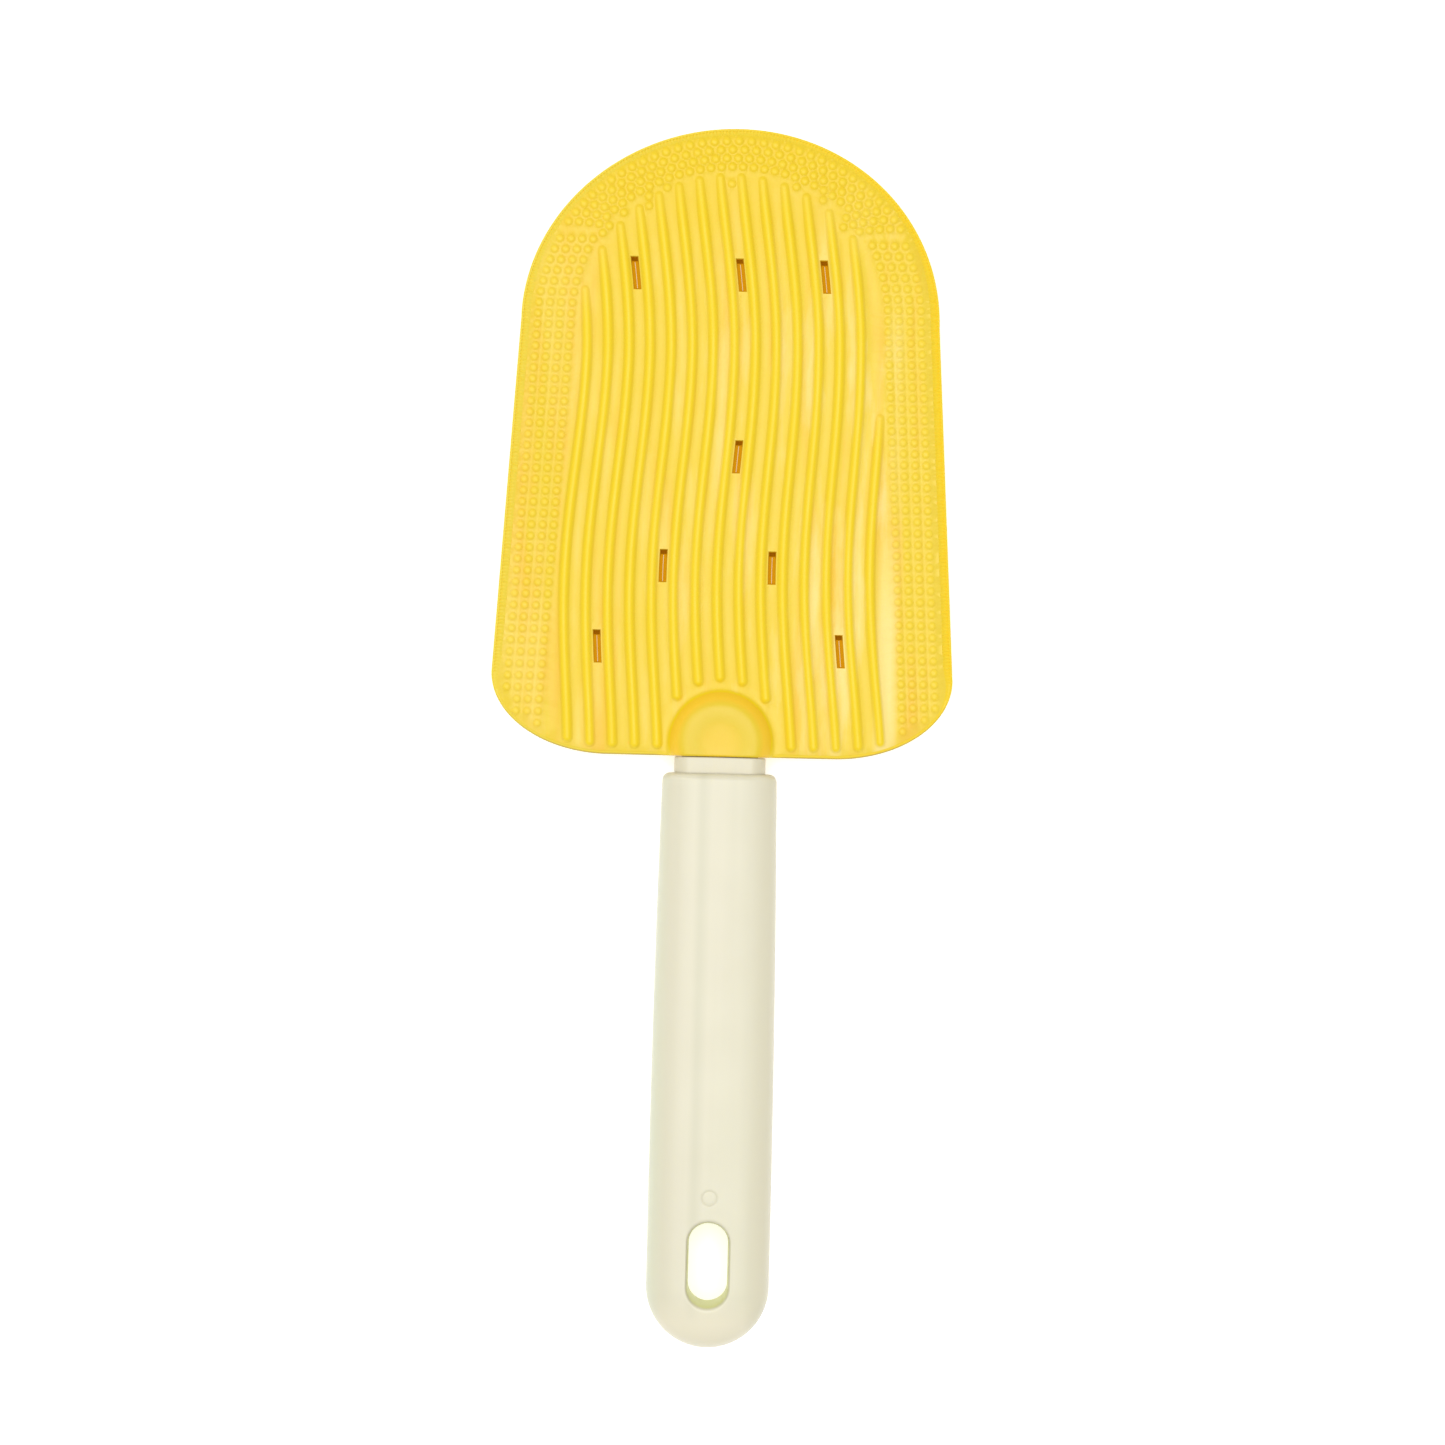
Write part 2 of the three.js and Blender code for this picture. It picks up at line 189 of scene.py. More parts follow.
EDGE_RELIEF = (-0.32, SHALLOW)
BOSS_GOLD = (0.815, 0.52, 0.02)
BOSS_RELIEF = (1.0, 1.3)
BOSS_PALE = (0.70, 0.51, 0.022)
DISH_RELIEF = (3.2, 4.2)
# painted shade on the slots' deep walls and ledges
SLOT_PAINTED_SHADE = (0.55, 0.245, 0.004)
SLOT_RELIEF = (-0.5, -0.58)
# a painted shadow in the pit at each slot's top end
PIT_PAINTED_SHADOW = (0.25, 0.085, 0.001)
PIT_RELIEF = (-0.85, -0.91)
MATT_RELIEF = (SHALLOW, -0.55)  # where slots lose their shine

# ---- neck and handle colours, in the same way ----
NECK_CREAM = (0.635, 0.59, 0.43)
NECK_CREAM_PALE = (0.64, 0.60, 0.455)
CREAM = (0.655, 0.615, 0.475)
CREAM_DULL = (0.65, 0.625, 0.47)
CREAM_GREEN = (0.625, 0.63, 0.475)
GREEN_START = (-0.012, -0.0155)
# painted shade on the handle's right side, where less light falls
CREAM_PAINTED_SHADE = (0.635, 0.60, 0.45)
SHADED_SIDE_START = (0.0095, 0.0135)
# painted light on the handle's lower end, which the lamps light less
CREAM_PAINTED_LIGHT = (0.72, 0.675, 0.515)
PAINTED_LIGHT_START = (-0.146, -0.153)
# a darker cream for the faint flow marks and for the stripe below
STREAK_CREAM = (0.60, 0.575, 0.43)
# a darker stripe along the handle, left of its middle
DARK_STRIPE_LEFT, DARK_STRIPE_RIGHT = (-0.0062, -0.0045), (-0.0038, -0.0016)
# a yellow-green glow painted on the hang slot's walls, as light through the plastic
TUNNEL_PAINTED_GLOW = (0.68, 0.68, 0.25)
TUNNEL_RELIEF = (SHALLOW, -1.5)

# ---- surfaces ----
NOISE_SPREAD = (0.3, 0.7)  # noise seldom leaves this range
RUBBER_ROUGHNESS, PLASTIC_ROUGHNESS = (0.38, 0.5), (0.3, 0.4)
RUBBER_SPECULAR, MATT_SPECULAR = 0.5, 0.0

# ---- camera and light ----
VIEW_X, VIEW_Y = 0.43, 4.0
VIEW_DISTANCE = 1000.0
VIEW_WIDTH = 379.6
VIEW_ROLL_DEGREES = 1.38
AMBIENT = 0.6
FLOOR_REACH = 4000.0
FLOOR_GREY, FLOOR_PALE = (0.93, 0.93, 0.93), (0.95, 0.95, 0.95)
FLOOR_GLOW = 0.38
SOFTBOXES = [  # (name, place in metres, width, height, watts)
    ("overhead", (0.0, 0.07, 1.4), 1.1, 1.1, 13.2),
    ("key", (-0.7, 0.5, 1.0), 0.4, 0.4, 2),
]


# ---- mesh tools ----
class Plan:
    """A piece seen from the front: points with a height off the middle plane, and lines to keep."""

    def __init__(self):
        self.points = []
        self.edges = []
        self.count = 0

    def dots(self, x, y, height):
        """Adds points, and returns their numbers."""
        rows = np.stack(np.broadcast_arrays(x, y, height), axis=-1).reshape(-1, 3)
        self.points.append(rows.astype(float))
        self.count += len(rows)
        return list(range(self.count - len(rows), self.count))

    def join(self, numbers, closed=False):
        self.edges += zip(numbers, numbers[1:])
        if closed:
            self.edges.append((numbers[-1], numbers[0]))

    def line(self, x, y, height, closed=False):
        self.join(self.dots(x, y, height), closed)


def make_object(name, vertices, faces):
    mesh = bpy.data.meshes.new(name)
    mesh.from_pydata((vertices * MM).tolist(), [], faces)
    mesh.validate()
    piece = bpy.data.objects.new(name, mesh)
    bpy.context.scene.collection.objects.link(piece)
    return piece


def triangulate(name, plan, in_hole):
    """A plan's places, their heights and the triangles between them, without those in holes."""
    points = np.concatenate(plan.points)
    flat = [Vector(p) for p in points[:, :2].tolist()]
    inside_outline, snap = 1, 1e-6
    placed, _, triangles, sources, _, _ = delaunay_2d_cdt(flat, plan.edges, [], inside_outline, snap)
    xy = np.array([tuple(p) for p in placed])
    crossed = [tuple(round(c, 2) for c in place) for place, source in zip(placed, sources) if not source]
    if crossed:
        raise ValueError(f"{name}: lines cross at {crossed[:40]}, {len(crossed)} in all")
    height = points[[source[0] for source in sources], 2]
    triangles = np.array(triangles)
    centres = xy[triangles].mean(axis=1)
    triangles = triangles[~in_hole(centres[:, 0], centres[:, 1])]
    used, triangles = np.unique(triangles, return_inverse=True)
    return xy[used], height[used], triangles.reshape(-1, 3)


def open_edges(triangles, count):
    """The edges with a triangle on one side only, among triangles between that many points."""
    edges = np.concatenate([triangles[:, [0, 1]], triangles[:, [1, 2]], triangles[:, [2, 0]]])
    forward = edges[:, 0] * count + edges[:, 1]
    backward = edges[:, 1] * count + edges[:, 0]
    return edges[~np.isin(forward, backward)]


def two_faced(name, plan, in_hole):
    """The closed solid between a plan's front and its mirrored back."""
    xy, height, triangles = triangulate(name, plan, in_hole)
    count = len(xy)
    start, end = open_edges(triangles, count).T
    walls = np.stack([start, start + count, end + count, end], axis=1)
    front = np.column_stack([xy, MID_Z + height])
    back = np.column_stack([xy, MID_Z - height])
    faces = triangles.tolist() + (triangles[:, ::-1] + count).tolist() + walls.tolist()
    return make_object(name, np.concatenate([front, back]), faces)


def combine(piece, operation, tool):
    """Joins the tool's shape to the piece, or takes it out, and removes the tool."""
    modifier = piece.modifiers.new("combine", "BOOLEAN")
    modifier.operation = operation
    modifier.solver = "MANIFOLD"
    modifier.object = tool
    depsgraph = bpy.context.evaluated_depsgraph_get()
    mesh = bpy.data.meshes.new_from_object(piece.evaluated_get(depsgraph))
    mesh.materials.clear()
    piece.modifiers.clear()
    piece.data = mesh
    bpy.data.objects.remove(tool)


def smooth(piece, sharp_degrees):
    piece.data.shade_smooth()
    piece.data.set_sharp_from_angle(angle=math.radians(sharp_degrees))


def round_off(inset, radius):
    """How far a rounded edge of that radius has dropped, at that distance in from the edge."""
    away = np.clip(radius - np.asarray(inset, float), 0, radius)
    return radius - np.sqrt(radius**2 - away**2)


def arc_steps(count):
    """From 0 to 1, close together at 0, for points along a quarter round."""
    return 1 - np.cos(np.linspace(0, math.pi / 2, count))


def circle(x, y, radius, count):
    """Points round a circle, anticlockwise from its right."""
    angle = np.arange(count) * 2 * math.pi / count
    return x + radius * np.cos(angle), y + radius * np.sin(angle)


def even_steps(loop, spacing):
    """A closed line's points, spread evenly about `spacing` apart."""
    closed = np.vstack([loop, loop[:1]])
    run = np.concatenate([[0], np.cumsum(np.hypot(*np.diff(closed, axis=0).T))])
    count = 2 * round(run[-1] / spacing / 2)
    at = np.arange(count) * run[-1] / count
    return np.column_stack([np.interp(at, run, closed[:, 0]), np.interp(at, run, closed[:, 1])])


def inward(loop):
    """Unit normals of a closed line that runs anticlockwise, towards its inside."""
    along = np.roll(loop, -1, axis=0) - np.roll(loop, 1, axis=0)
    normal = np.column_stack([-along[:, 1], along[:, 0]])
    return normal / np.hypot(*normal.T)[:, None]


# ---- blade ----
def wave(y):
    """How far the ribs are to the right at y, eased from turn to turn."""
    turn_y, turn_x = np.array(WAVE_TURNS).T
    start = np.clip(np.searchsorted(turn_y, y) - 1, 0, len(turn_y) - 2)
    ease = (1 - np.cos(np.pi * (y - turn_y[start]) / (turn_y[start + 1] - turn_y[start]))) / 2
    return turn_x[start] + (turn_x[start + 1] - turn_x[start]) * ease


def rib_x(rib, y):
    """Where a rib's middle is at y. Half a number is between two ribs."""
    pitch = RIB_PITCH_TIP + PITCH_GROWTH * np.maximum(PITCH_Y - y, 0)
    return (rib - MIDDLE_RIB) * pitch + wave(y)


def rib_top(rib):
    """Where a rib ends below the arch."""
    if rib >= RIB_COUNT:
        return SIDE_RIB_TOP_Y
    y = TIP_Y
    while math.hypot(rib_x(rib, y), y - ARCH_Y) > RIB_TOP_RADIUS:
        y -= RIB_END_STEP
    return y


def edge_y(x):
    """The outline's lower edge."""
    past = max(abs(x) - CORNER_X, 0) / CORNER_WIDTH
    return CORNER_Y - CORNER_HEIGHT * math.sqrt(1 - past * past)


def rib_bottom(rib):
    """Where a rib starts above the lower edge or the boss."""
    y = EDGE_Y
    x = rib_x(rib, y)
    while math.hypot(x, y - BOSS_Y) < BOSS_RADIUS + RIB_BOSS_GAP or y < edge_y(x) + RIB_EDGE_GAP:
        y += RIB_END_STEP
        x = rib_x(rib, y)
    return y


def lean(y):
    return ARCH_LEAN * np.clip((y - ARCH_Y) / ARCH_HEIGHT, 0, 1) ** LEAN_POWER


def side_x(y):
    """The outline's half width beside the studs, without the lower corners."""
    up = np.clip((y - ARCH_Y) / ARCH_HEIGHT, 0, 1)
    below = np.maximum(ARCH_Y - y, 0) / (ARCH_Y - CORNER_Y)
    return ARCH_HALF_WIDTH * np.sqrt(1 - up**2) + (BLADE_HALF_WIDTH - ARCH_HALF_WIDTH) * below


def ellipse(centre_x, centre_y, width, height, from_degrees, to_degrees):
    angle = np.radians(np.linspace(from_degrees, to_degrees, ARC_POINTS))
    return np.column_stack([centre_x + width * np.cos(angle), centre_y + height * np.sin(angle)])


def blade_outline():
    loop = np.vstack([
        ellipse(CORNER_X, CORNER_Y, CORNER_WIDTH, CORNER_HEIGHT, -90, 0),
        ellipse(0, ARCH_Y, ARCH_HALF_WIDTH, ARCH_HEIGHT, 0, 180),
        ellipse(-CORNER_X, CORNER_Y, CORNER_WIDTH, CORNER_HEIGHT, 180, 270),
    ])
    loop[:, 0] += lean(loop[:, 1])
    return even_steps(loop, SERRATION_PITCH / 2)


def boss_height(x, y):
    """The height off the middle plane of the boss, and of the web around it."""
    reach, height = np.array(BOSS_SECTION).T
    return np.interp(np.hypot(x, y - BOSS_Y), reach, height)


def draw_rim(plan, outline):
    """Draws the rounded edge, the serrated rim and the step up to the web, as rings inside the outline."""
    normal = inward(outline)
    width = np.interp(outline[:, 1], *np.array(RIM_WIDTHS).T)
    full = np.interp(outline[:, 1], [RIM_WIDTHS[0][0], RIM_WIDTHS[1][0]], [0, 1])  # 0 along the lower edge
    tooth = np.where(np.arange(len(outline)) % 2, SERRATION_DEPTH, 0) * full
    beside_boss = np.hypot(outline[:, 0], outline[:, 1] - BOSS_Y) - BOSS_RADIUS
    bevel = RIM_DROP * np.clip(beside_boss / RIM_BOSS_FADE, 0, 1)
    rings = [(inset, bevel) for inset in EDGE_ROUND * arc_steps(4)]
    rings += [(SERRATION_INSET, bevel + tooth), (width - RIM_STEP, bevel / 2 + tooth), (width, 0)]
    for inset, drop in rings:
        ring = outline + (inset * normal.T).T
        height = boss_height(*ring.T) - round_off(inset, EDGE_ROUND) - drop
        plan.line(*ring.T, height, closed=True)


def draw_ring_round(plan, spine, distance, height):
    """A line all round a spine, with round ends. Each point of the spine has its distance and height."""
    along = np.gradient(spine, axis=0)
    along /= np.hypot(*along.T)[:, None]
    side = np.column_stack([along[:, 1], -along[:, 0]])
    turn = np.linspace(0, math.pi, 9)[1:-1]
    caps = []
    for end, right in ((-1, side[-1]), (0, -side[0])):
        left = np.array([-right[1], right[0]])
        round_end = np.outer(np.cos(turn), right) + np.outer(np.sin(turn), left)
        caps.append(spine[end] + distance[end] * round_end)
    out = distance[:, None] * side
    ring = np.vstack([spine + out, caps[0], (spine - out)[::-1], caps[1]])
    last, first = np.full(len(turn), height[-1]), np.full(len(turn), height[0])
    heights = np.concatenate([height, last, height[::-1], first])
    plan.line(*ring.T, heights, closed=True)


def rib_fade(spine, share_at_top):
    """How much of its full width or height a rib has at each point of its spine."""
    below_top = spine[-1, 1] - spine[:, 1]
    return share_at_top + (1 - share_at_top) * np.clip(below_top / RIB_FADE_LENGTH, 0, 1)


def rib_spine(rib):
    half_width = RIB_SECTION[0][0]
    top, bottom = rib_top(rib) - half_width * RIB_TOP_WIDTH, rib_bottom(rib) + half_width
    y = np.linspace(bottom, top, round((top - bottom) / RIB_POINT_SPACING))
    return np.column_stack([rib_x(rib, y), y])


def draw_rib(plan, spine):
    width_share, height_share = rib_fade(spine, RIB_TOP_WIDTH), rib_fade(spine, RIB_TOP_HEIGHT)
    for distance, height in RIB_SECTION:
        draw_ring_round(plan, spine, distance * width_share, WEB_HALF + height * height_share)
    plan.line(*spine.T, WEB_HALF + RIB_HEIGHT * height_share)


def stud_places(outline, spines):
    """Rows at the sides, then rows round the arch. Only studs clear of the edge, ribs and others are kept."""
    places = []
    for row in range(STUD_ROWS):
        y = STUD_ROW_Y + STUD_ROW_PITCH * row - STUD_ROW_CLOSING * row**2
        for inset in SIDE_STUD_INSETS:
            for side in (-1, 1):
                places.append((side * (side_x(y) - inset) + SIDE_STUD_SHIFT + lean(y), y))
    step = ARCH_STUD_PITCH / (ARCH_HALF_WIDTH - ARCH_STUD_INSETS[1])
    for row, inset in enumerate(ARCH_STUD_INSETS):
        angle = (np.arange(-40, 40) + row % 2 / 2) * step  # past both ends of the arch, then cut
        y = ARCH_Y + (ARCH_HEIGHT - inset) * np.cos(angle)
        x = (ARCH_HALF_WIDTH - inset) * np.sin(angle) + lean(y)
        places += [(px, py) for px, py in zip(x, y) if py > ARCH_STUDS_FROM_Y]
    ribs = np.vstack(spines)
    rib_reach = RIB_SECTION[0][0] * np.concatenate([rib_fade(spine, RIB_TOP_WIDTH) for spine in spines])
    kept = []
    for place in places:
        from_edge = np.hypot(*(outline - place).T).min()
        from_rib = (np.hypot(*(ribs - place).T) - rib_reach).min() - STUD_SECTION[0][0]
        from_stud = min((math.dist(place, other) for other in kept), default=math.inf)
        if from_edge > STUD_FROM_EDGE and from_rib > STUD_FROM_RIB and from_stud > STUD_FROM_STUD:
            kept.append(place)
    return kept


def draw_stud(plan, x, y):
    for radius, height, count in STUD_SECTION:
        plan.dots(*circle(x, y, radius, count), WEB_HALF + height)
    plan.dots(x, y, WEB_HALF + STUD_HEIGHT)


def draw_boss(plan):
    """Draws the boss as rings of dots, with straight rows by the lower edge."""
    plan.dots(0, BOSS_Y, BOSS_SECTION[0][1])
    for radius, height in BOSS_SECTION[1:]:
        step_degrees = 5 if radius > 3 else 15
        angle = np.radians(np.arange(-90, 270, step_degrees))
        x, y = radius * np.cos(angle), BOSS_Y + radius * np.sin(angle)
        shown = y > BOSS_DRAWN_FROM_Y
        plan.dots(x[shown], y[shown], height)
    x = np.arange(-BOSS_ROW_REACH, BOSS_ROW_REACH + 0.1, BOSS_ROW_SPACING)
    for y in BOSS_EDGE_ROWS:
        plan.dots(x, y, boss_height(x, y))


def slot_x(left_rib, y):
    """The middle of a slot, halfway from its left rib to the next."""
    return rib_x(left_rib + 0.5, y)


def draw_in_slot(plan, left_rib, low_y, high_y, inset, height):
    """Draws an outline in a slot, from low_y to high_y and that far in from its sides."""
    y = np.linspace(low_y, high_y, 5)
    x = slot_x(left_rib, y)
    half_width = SLOT_WIDTH / 2 - inset
    right = np.column_stack([x + half_width, y])
    left = np.column_stack([x - half_width, y])
    plan.line(*np.vstack([right, left[::-1]]).T, WEB_HALF + height, closed=True)


def slot_ends(y):
    """Where a slot starts and ends, along the blade."""
    return y - SLOT_LENGTH / 2, y + SLOT_LENGTH / 2


def opening_ends(y):
    """The same for its clear opening, which stops short of the pit."""
    low, high = slot_ends(y)
    end_inset = SLOT_OPENING[1]
    return low + end_inset, high - SLOT_PIT[1] - end_inset


def draw_slot(plan, left_rib, y):
    low, high = slot_ends(y)
    for inset, end_inset, height in SLOT_LEDGES:
        draw_in_slot(plan, left_rib, low + end_inset, high - end_inset, inset, height)
    draw_in_slot(plan, left_rib, *opening_ends(y), SLOT_OPENING[0], SLOT_OPENING[2])
    near, far = SLOT_PIT
    draw_in_slot(plan, left_rib, high - far, high - near, near, SLOT_PIT_HEIGHT)


def in_any_slot(x, y, half_width, ends):
    """True where points are in a slot of that half width, between its ends(middle y)."""
    inside = np.zeros(len(x), bool)
    for left_rib, slot_y in SLOTS:
        low, high = ends(slot_y)
        across = np.abs(x - slot_x(left_rib, y)) < half_width
        inside |= across & (y > low) & (y < high)
    return inside


def in_slot(x, y):
    return in_any_slot(x, y, SLOT_WIDTH / 2, slot_ends)


def in_opening(x, y):
    """True in the slots' clear openings, inside their ledges."""
    return in_any_slot(x, y, SLOT_WIDTH / 2 - SLOT_OPENING[0], opening_ends)


def tongue_plan(grow, low_y):
    """The tongue from low_y to its round end, with that much added all round."""
    plan = Plan()
    radius = TONGUE_RADIUS + grow
    angle = np.linspace(0, math.pi, 49)
    x = np.concatenate([[-radius, radius], radius * np.cos(angle)])
    y = np.concatenate([[low_y, low_y], BOSS_Y + radius * np.sin(angle)])
    plan.line(x, y, TONGUE_HALF + grow, closed=True)
    return plan


def lock_hole_centres():
    angle = np.radians(LOCK_HOLE_DEGREES)
    return np.column_stack([LOCK_HOLE_REACH * np.cos(angle), BOSS_Y + LOCK_HOLE_REACH * np.sin(angle)])


def round_holes(plan, centres, radius, height):
    """Draws round holes in a plan, and returns the test for being in one."""
    for x, y in centres:
        plan.line(*circle(x, y, radius, HOLE_SIDES), height, closed=True)
    reach = radius * HOLE_SHARE
    return lambda x, y: np.any([np.hypot(x - cx, y - cy) < reach for cx, cy in centres], axis=0)


def make_pocket():
    """The tongue's pocket inside the blade, round the posts that go through the tongue's lock holes."""
    plan = tongue_plan(FIT_GAP, EDGE_Y - POCKET_OVERRUN)
    in_post = round_holes(plan, lock_hole_centres(), LOCK_HOLE_RADIUS - FIT_GAP, TONGUE_HALF + FIT_GAP)
    return two_faced("pocket", plan, in_post)


def make_blade():
    plan = Plan()
    outline = blade_outline()
    draw_rim(plan, outline)
    draw_boss(plan)
    spines = [rib_spine(rib) for rib in range(RIB_COUNT + 1)]
    for spine in spines:
        draw_rib(plan, spine)
    for x, y in stud_places(outline, spines):
        draw_stud(plan, x, y)
    for left_rib, y in SLOTS:
        draw_slot(plan, left_rib, y)
    blade = two_faced("blade", plan, in_opening)
    combine(blade, "DIFFERENCE", make_pocket())
    smooth(blade, sharp_degrees=50)
    return blade


# ---- neck and handle ----
def oval_section(half_width, half, side, count=9):
    """A quarter of a flat-oval section, edge to middle: x, height, and the outward normal's x and height."""
    angle = np.linspace(OVAL_START, math.pi / 2, count)
    x = half_width - side * (1 - np.cos(angle))
    height = half * np.sin(angle)
    normal = np.column_stack([np.cos(angle) / side, np.sin(angle) / half])
    normal /= np.hypot(*normal.T)[:, None]
    section = np.column_stack([x, height, normal])
    return np.vstack([section, [0, half, 0, 1]])


def neck_section(grow):
    """The neck's section, with that much added all round."""
    return oval_section(NECK_HALF_WIDTH + grow, NECK_HALF + grow, NECK_SIDE + grow)


def grip_section(half_width, count=22):
    """The same for the grip's section, a rounded oblong with no flat."""
    angle = np.linspace(GRIP_START, math.pi / 2, count)
    x = half_width * np.cos(angle) ** (2 / GRIP_POWER)
    height = GRIP_HALF * np.sin(angle) ** (2 / GRIP_POWER)
    slope = GRIP_POWER - 1
    normal_x = (x / half_width) ** slope / half_width
    normal_height = (height / GRIP_HALF) ** slope / GRIP_HALF
    normal = np.column_stack([normal_x, normal_height])
    normal /= np.hypot(*normal.T)[:, None]
    return np.column_stack([x, height, normal])


def stations(y_from, y_to, round_from, round_to, step):
    """Places along a bar, as (y, how far its section shrinks there to round its ends)."""
    turn = np.linspace(0, math.pi / 2, 7)[1:]
    count = round((y_to - y_from) / step)
    places = [(y, 0) for y in np.linspace(y_from + round_from, y_to - round_to, count)]
    if round_from:
        start = [(y_from + round_from * (1 - math.sin(a)), round_from * (1 - math.cos(a))) for a in turn]
        places = start[::-1] + places
    if round_to:
        places += [(y_to - round_to * (1 - math.sin(a)), round_to * (1 - math.cos(a))) for a in turn]
    return places


def everywhere(x, y):
    return np.ones(len(x), bool)


def nowhere(x, y):
    return np.zeros(len(x), bool)


def draw_bar(plan, section_at, places, kept=everywhere):
    """Draws a bar along Y, and returns its outline's numbers: right side, top, left side and bottom."""
    rows = {1: [], -1: []}
    for y, shrink in places:
        x, height, normal_x, normal_height = section_at(y).T
        x, height = x - shrink * normal_x, height - shrink * normal_height
        for side in (1, -1):
            keep = kept(x, np.full_like(x, y))
            if side < 0:
                keep[-1] = False  # the middle is drawn once
            rows[side].append(plan.dots(side * x[keep], y, height[keep]))
    right, left = rows[1], rows[-1]
    top = right[-1][1:] + left[-1][:0:-1]
    bottom = left[0][1:] + right[0][:0:-1]
    return [row[0] for row in right], top, [row[0] for row in left[::-1]], bottom


def make_bar(name, section, places):
    """A bar with one section all along."""
    plan = Plan()
    plan.join(sum(draw_bar(plan, lambda y: section, places), []), closed=True)
    return two_faced(name, plan, nowhere)


def make_barb(name, grow):
    """The barb round the plug's end or, with a gap to grow by, the groove that it clicks into."""
    places = stations(BARB_Y - grow, BARB_Y + BARB_LENGTH + grow, BARB_START_ROUND, BARB_END_ROUND, step=1.0)
    return make_bar(name, neck_section(BARB_HEIGHT + grow), places)


def make_tongue(low_y):
    plan = tongue_plan(0, low_y)
    in_hole = round_holes(plan, lock_hole_centres(), LOCK_HOLE_RADIUS, TONGUE_HALF)
    return two_faced("tongue", plan, in_hole)


def make_core():
    """The hollow inside the plug."""
    section = oval_section(PLUG_CORE_HALF_WIDTH, PLUG_CORE_HALF, PLUG_CORE_SIDE)
    low, high = PLUG_END_Y - CORE_OVERRUN, MOUTH_Y - PLUG_CORE_FLOOR
    return make_bar("core", section, stations(low, high, 0, CORE_END_ROUND, step=3.0))


def make_neck():
    neck_top = EDGE_Y - NECK_GAP
    places = stations(PLUG_END_Y, neck_top, PLUG_END_ROUND, NECK_TOP_ROUND, step=2.0)
    neck = make_bar("neck", neck_section(0), places)
    combine(neck, "UNION", make_barb("barb", 0))
    combine(neck, "UNION", make_tongue(neck_top - TONGUE_OVERLAP))
    combine(neck, "DIFFERENCE", make_core())
    smooth(neck, sharp_degrees=40)
    return neck


def grip_half_width(y):
    """The handle's half width: it swells from the mouth to GRIP_SWELL_Y, then stays."""
    t = np.clip((MOUTH_Y - y) / (MOUTH_Y - GRIP_SWELL_Y), 0, 1)
    return GRIP_MOUTH_HALF_WIDTH + (GRIP_HALF_WIDTH - GRIP_MOUTH_HALF_WIDTH) * (2 * t - t * t)


def grip_height(x, y):
    """How far the handle's surface is off the middle plane."""
    off_axis = np.hypot(x, np.minimum(y - END_CENTRE_Y, 0))
    part = np.clip(off_axis / grip_half_width(y), 0, 1)
    return GRIP_HALF * (1 - part**GRIP_POWER) ** (1 / GRIP_POWER)


def stadium(width, length, y, spacing=0.5):
    """The outline of a slot with round ends, along Y."""
    radius, straight = width / 2, (length - width) / 2
    lower = ellipse(0, y - straight, radius, radius, 180, 360)
    upper = ellipse(0, y + straight, radius, radius, 0, 180)
    return even_steps(np.vstack([lower, upper]), spacing)


def stadium_distance(x, y, width, length, centre_y):
    """How far points are outside such a slot. Negative is inside."""
    straight = (length - width) / 2
    return np.hypot(x, np.maximum(np.abs(y - centre_y) - straight, 0)) - width / 2


def in_hang_slot(x, y):
    return stadium_distance(x, y, HANG_WIDTH, HANG_LENGTH, HANG_Y) < -HANG_CHORD_GAP


def in_hang_flare(x, y):
    return stadium_distance(x, y, HANG_WIDTH, HANG_LENGTH, HANG_Y) < HANG_FLARE[-1][0]


def in_tunnel(x, y):
    return stadium_distance(x, y, TUNNEL_WIDTH, TUNNEL_LENGTH, HANG_Y) < -TUNNEL_CHORD_GAP


def clear_of_details(x, y):
    """True where the grip's own grid of points runs, clear of the hang slot and the gate mark."""
    flare = HANG_FLARE[-1][0]
    flared = HANG_WIDTH + 2 * flare, HANG_LENGTH + 2 * FLARE_ALONG * flare
    from_slot = stadium_distance(x, y, *flared, HANG_Y)
    from_gate = np.hypot(x, y - GATE_Y) - GATE_SECTION[0][0]
    return (from_slot > HANG_CLEARANCE) & (from_gate > GATE_CLEARANCE)


def draw_grip_end(plan):
    """Draws the handle's round end, and returns the numbers of its outline from left to right."""
    section = grip_section(GRIP_HALF_WIDTH)
    outline = []
    for angle in np.radians(np.arange(END_STEP_DEGREES - 180, 0, END_STEP_DEGREES)):
        x, y = section[:, 0] * math.cos(angle), END_CENTRE_Y + section[:, 0] * math.sin(angle)
        keep = clear_of_details(x, y)
        outline.append(plan.dots(x[keep], y[keep], section[keep, 1])[0])
    return outline


def make_cavity():
    """The hollow inside the handle, which leaves a wall round the hang slot."""
    plan = Plan()
    width = 2 * CAVITY_HALF_WIDTH
    low, high = END_CENTRE_Y - CAVITY_HALF_WIDTH, MOUTH_Y + width  # its upper round end is past the mouth
    length, centre = high - low, (low + high) / 2
    for angle in np.linspace(OVAL_START, math.pi / 2, 8):
        inset = CAVITY_SIDE * (1 - math.cos(angle))
        ring = stadium(width - 2 * inset, length - 2 * inset, centre, spacing=2.0)
        plan.line(*ring.T, CAVITY_HALF * math.sin(angle), closed=True)
    tunnel = stadium(TUNNEL_WIDTH, TUNNEL_LENGTH, HANG_Y, spacing=1.0)
    plan.line(*tunnel.T, CAVITY_HALF, closed=True)
    return two_faced("cavity", plan, in_tunnel)


def draw_grip_details(plan):
    """Draws the hang slot's flared walls and the moulding mark."""
    for out, depth in HANG_FLARE:
        x, y = stadium(HANG_WIDTH + 2 * out, HANG_LENGTH + 2 * FLARE_ALONG * out, HANG_Y).T
        plan.line(x, y, grip_height(x, y) - depth, closed=True)
    for radius, depth in GATE_SECTION:
        x, y = circle(0, GATE_Y, radius, GATE_SIDES)
        plan.line(x, y, grip_height(x, y) - depth, closed=True)


